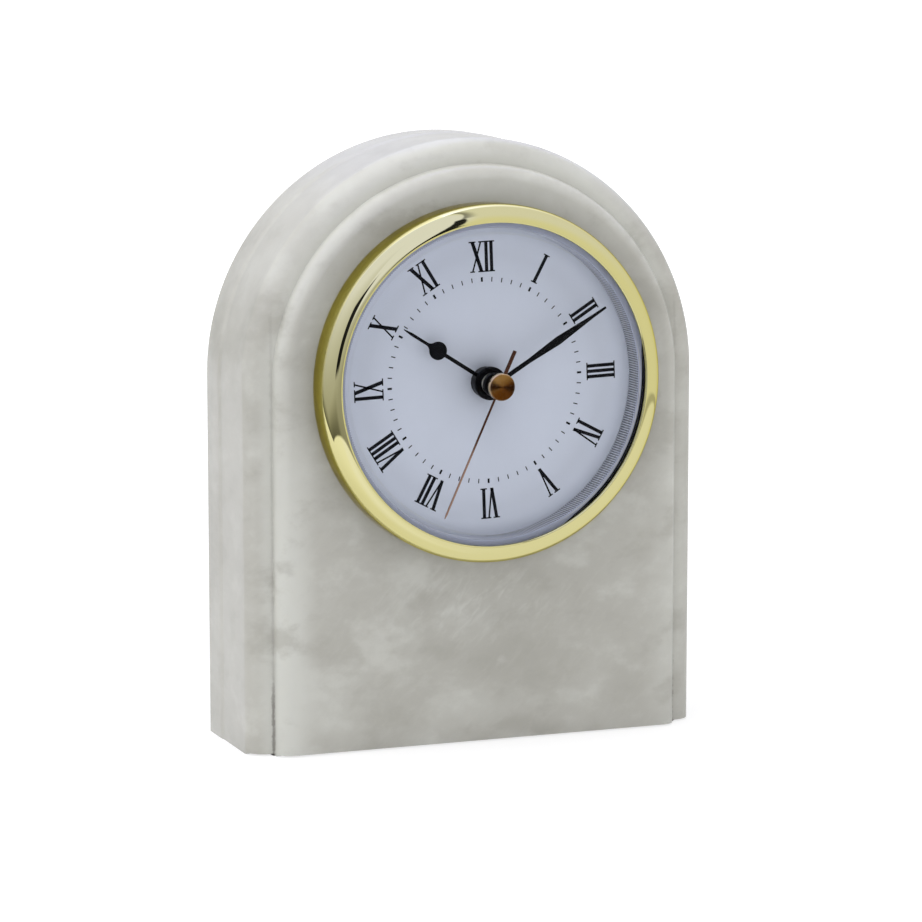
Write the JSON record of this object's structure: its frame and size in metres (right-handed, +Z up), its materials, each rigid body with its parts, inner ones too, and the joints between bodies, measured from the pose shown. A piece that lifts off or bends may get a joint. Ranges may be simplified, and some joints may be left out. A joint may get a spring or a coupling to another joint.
{
  "type": "desk clock",
  "caption": "Stepped marble arch that stands on a desk, with a gold-rimmed quartz clock insert pressed into a round bore and a battery and setting knob behind",
  "frame": {"origin": "middle of the base, on the surface it stands on", "axes": "+X to the right seen from the dial, +Y to the back, +Z up"},
  "size_m": [0.1216, 0.0544, 0.1534],
  "materials": {
    "marble": "polished, pale grey with cloudy patches",
    "bezel_gold": "polished, pale gold plate",
    "lens_clear": "clear, polished",
    "ring_silver": "fine coin-edge flutes, bright",
    "dial_white": "satin white with black print",
    "hand_black": "semi-gloss black",
    "hand_copper": "satin copper plate",
    "cap_brass": "turned, fine rings",
    "housing_black": "moulded, matt",
    "movement_black": "moulded, fine texture",
    "grip_rubber": "matt",
    "nut_black": "blackened, satin",
    "train_white": "moulded, satin",
    "arbor_brass": "turned",
    "arbor_steel": "turned",
    "magnet": "satin",
    "lamination": "rolled",
    "winding": "enamelled wire",
    "board": "solder mask",
    "chip_black": "cast resin",
    "crystal_can": "bright",
    "battery_jacket": "plain jacket",
    "contact_metal": "rolled spring strip"
  },
  "bodies": {
    "case": {"front_slab": "marble", "middle_slab": "marble", "back_slab": "marble", "bezel": "bezel_gold", "lens": "lens_clear", "dial_ring": "ring_silver", "dial": "dial_white", "insert_cup": "housing_black", "grip_ring": "grip_rubber", "ring_nut": "nut_black", "movement_case": "movement_black", "movement_cover": "movement_black", "train_plate": "train_white", "stator": "lamination", "coil_core": "lamination", "coil": "winding", "circuit_board": "board", "chip": "chip_black", "quartz_crystal": "crystal_can", "contact_positive": "contact_metal", "contact_negative": "contact_metal"},
    "seconds": {"seconds_wheel": "arbor_steel", "second_hand": "hand_copper", "second_hand_cap": "cap_brass"},
    "third": {"third_wheel": "train_white"},
    "centre": {"centre_wheel": "train_white"},
    "fifth": {"fifth_wheel": "train_white"},
    "rotor_body": {"rotor": "magnet"},
    "minutes": {"minute_arbor": "arbor_brass", "minute_hand": "hand_black"},
    "motion": {"motion_wheel": "train_white"},
    "hours": {"hour_wheel": "train_white", "hour_hand": "hand_black"},
    "knob": {"setting_knob": "movement_black"},
    "battery_body": {"battery": "battery_jacket"}
  },
  "joints": [
    {"name": "seconds_turn", "type": "hinge", "parent": "case", "child": "seconds", "pos_m": [0, 0, 0.0926], "axis": [0, 1, 0], "continuous": true},
    {"name": "third_turn", "type": "hinge", "parent": "case", "child": "third", "pos_m": [0.00706, 0, 0.09898], "axis": [0, 1, 0], "continuous": true},
    {"name": "centre_turn", "type": "hinge", "parent": "case", "child": "centre", "pos_m": [0, 0, 0.0926], "axis": [0, 1, 0], "continuous": true},
    {"name": "fifth_turn", "type": "hinge", "parent": "case", "child": "fifth", "pos_m": [-0.00636, 0, 0.09597], "axis": [0, 1, 0], "continuous": true},
    {"name": "rotor_turn", "type": "hinge", "parent": "case", "child": "rotor_body", "pos_m": [-0.01008, 0, 0.1019], "axis": [0, 1, 0], "continuous": true},
    {"name": "minutes_turn", "type": "hinge", "parent": "case", "child": "minutes", "pos_m": [0, 0, 0.0926], "axis": [0, 1, 0], "continuous": true},
    {"name": "motion_turn", "type": "hinge", "parent": "case", "child": "motion", "pos_m": [-0.00782, 0, 0.09092], "axis": [0, 1, 0], "continuous": true},
    {"name": "hours_turn", "type": "hinge", "parent": "case", "child": "hours", "pos_m": [0, 0, 0.0926], "axis": [0, 1, 0], "continuous": true},
    {"name": "knob_turn", "type": "hinge", "parent": "case", "child": "knob", "pos_m": [-0.01582, 0, 0.09063], "axis": [0, 1, 0], "continuous": true},
    {"name": "battery_out", "type": "slide", "parent": "case", "child": "battery_body", "axis": [0, 1, 0], "range_m": [0, 0.018]}
  ],
  "couplings": [
    {"joint": "third_turn", "follows": "seconds_turn", "ratio": -0.13333},
    {"joint": "centre_turn", "follows": "seconds_turn", "ratio": 0.016667},
    {"joint": "fifth_turn", "follows": "seconds_turn", "ratio": -5},
    {"joint": "rotor_turn", "follows": "seconds_turn", "ratio": 30},
    {"joint": "motion_turn", "follows": "minutes_turn", "ratio": -0.33333},
    {"joint": "hours_turn", "follows": "minutes_turn", "ratio": 0.083333},
    {"joint": "knob_turn", "follows": "minutes_turn", "ratio": 1}
  ]
}
